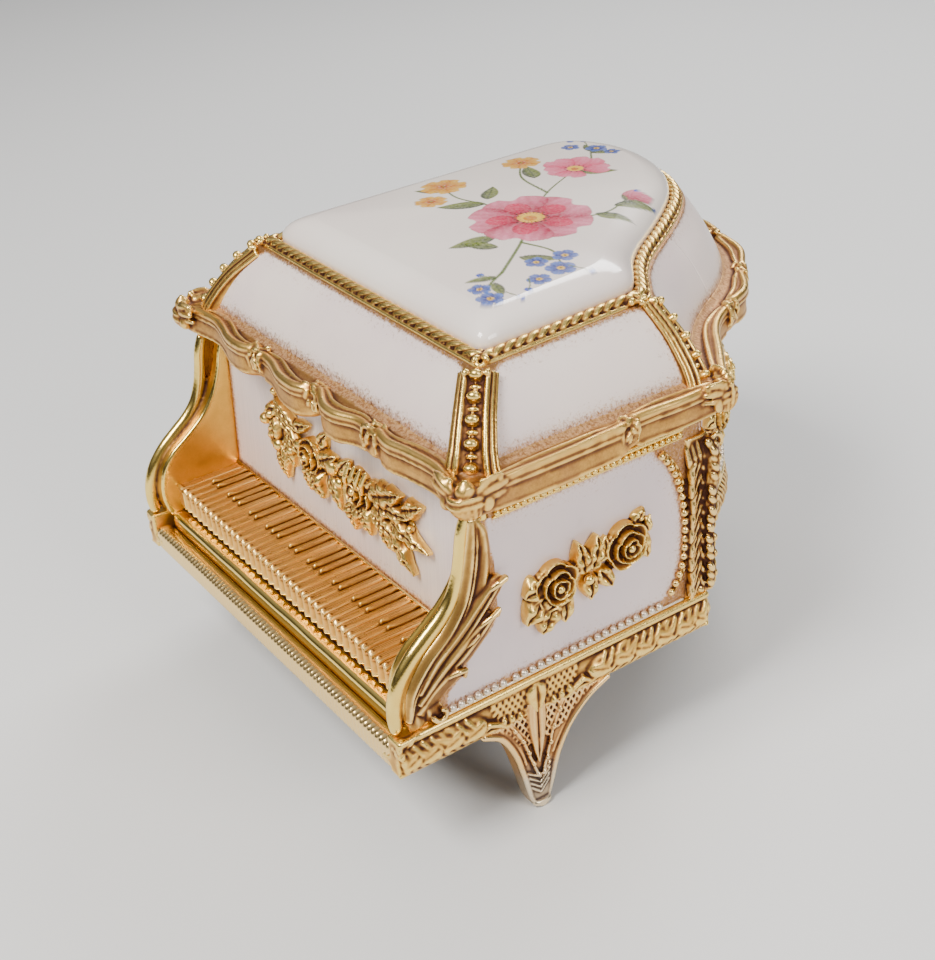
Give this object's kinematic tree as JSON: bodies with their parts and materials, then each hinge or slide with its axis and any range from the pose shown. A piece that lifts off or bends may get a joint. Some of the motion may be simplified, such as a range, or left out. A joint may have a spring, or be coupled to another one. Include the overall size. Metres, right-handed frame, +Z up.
{
  "type": "ballerina jewellery box",
  "caption": "Musical jewellery box shaped as a small gilt grand piano; the hinged lid opens on velvet wells, a mirror and a ballerina that turns on a wound movement.",
  "frame": {"origin": "on the table, under the middle of the box's bounding box", "axes": "+Z up, -Y towards the keyboard, +Y towards the tail, +X towards the treble (curved) side"},
  "size_m": [0.1204, 0.139, 0.1038],
  "materials": {
    "gilt_metal": "gold-plated cast metal, rubbed antique",
    "white_enamel": "satin warm white enamel",
    "porcelain": "glossy glaze with painted flowers",
    "red_velvet": "velvet",
    "tutu_net": "net",
    "mirror": "silvered",
    "base_paint": "matte dark lacquer",
    "movement_brass": "machined",
    "steel": "bright",
    "figure_plastic": "painted",
    "governor_plastic": "moulded"
  },
  "bodies": {
    "case": {"base_frame": "gilt_metal", "front_rail": "gilt_metal", "right_leg": "gilt_metal", "left_leg": "gilt_metal", "tail_leg": "gilt_metal", "key_bed": "gilt_metal", "keyboard": "gilt_metal", "black_keys": "gilt_metal", "nameboard": "white_enamel", "nameboard_garland": "gilt_metal", "right_side_panel": "white_enamel", "left_side_panel": "white_enamel", "bentside_panel": "white_enamel", "tail_panel": "white_enamel", "upper_moulding": "gilt_metal", "right_cheek": "gilt_metal", "left_cheek": "gilt_metal", "rear_corner_bracket": "gilt_metal", "right_rose_spray": "gilt_metal", "left_rose_spray": "gilt_metal", "tail_rose_spray": "gilt_metal", "bottom_plate": "base_paint", "screws": "steel", "front_tray": "red_velvet", "ring_rolls": "red_velvet", "rear_tray": "red_velvet", "spindle_bush": "movement_brass", "bedplate": "movement_brass", "bedplate_spacers": "steel", "comb": "steel", "cylinder_bearing": "movement_brass", "governor_bracket": "movement_brass", "stop_bracket": "steel", "stop_spring": "steel", "case_hinge_leaves": "movement_brass", "hinge_pins": "steel"},
    "lid": {"lid_hinge_leaves": "movement_brass", "lid_rim": "gilt_metal", "lid_front_panel": "white_enamel", "lid_right_panel": "white_enamel", "lid_left_panel": "white_enamel", "lid_bentside_panel": "white_enamel", "lid_tail_panel": "white_enamel", "lid_corner_ribs": "gilt_metal", "rope_border": "gilt_metal", "porcelain_plaque": "porcelain", "lid_mirror": "mirror", "lid_lining": "red_velvet"},
    "drum": {"spring_drum": "movement_brass", "mainspring": "steel", "drive_spindle": "steel", "turntable": "mirror", "ballerina_figure": "figure_plastic", "ballerina_tutu": "tutu_net"},
    "key": {"winding_key": "movement_brass", "winding_arbor": "steel"},
    "cylinder": {"music_cylinder": "movement_brass"},
    "governor_wheel_body": {"governor_wheel": "governor_plastic"},
    "fan": {"governor_fan": "governor_plastic"},
    "stop": {"stop_rod": "steel"}
  },
  "joints": [
    {"name": "lid_hinge", "type": "hinge", "parent": "case", "child": "lid", "pos_m": [-0.0581, 0.001, 0.0753], "axis": [0, -1, 0], "range_deg": [0, 100]},
    {"name": "key_wind", "type": "hinge", "parent": "case", "child": "key", "pos_m": [-0.022, 0.0255, 0.0245], "axis": [0, 0, 1], "continuous": true},
    {"name": "drum_spin", "type": "hinge", "parent": "case", "child": "drum", "pos_m": [-0.022, 0.0255, 0.03], "axis": [0, 0, 1], "continuous": true},
    {"name": "cylinder_spin", "type": "hinge", "parent": "case", "child": "cylinder", "pos_m": [-0.002, 0.0255, 0.04345], "axis": [1, 0, 0], "continuous": true},
    {"name": "governor_wheel_spin", "type": "hinge", "parent": "case", "child": "governor_wheel_body", "pos_m": [0.012, 0.0183, 0.03995], "axis": [1, 0, 0], "continuous": true},
    {"name": "governor_fan_spin", "type": "hinge", "parent": "case", "child": "fan", "pos_m": [0.0141, 0.0128, 0.04345], "axis": [0, 0, 1], "continuous": true},
    {"name": "stop_slide", "type": "slide", "parent": "case", "child": "stop", "axis": [0, 0, 1], "range_m": [0, 0.0014], "deforming": ["stop_spring"]}
  ],
  "couplings": [
    {"joint": "cylinder_spin", "follows": "drum_spin", "ratio": 3},
    {"joint": "governor_wheel_spin", "follows": "drum_spin", "ratio": -12},
    {"joint": "governor_fan_spin", "follows": "drum_spin", "ratio": -48},
    {"joint": "stop_slide", "follows": "lid_hinge", "m_per_rad": 0.0008}
  ]
}
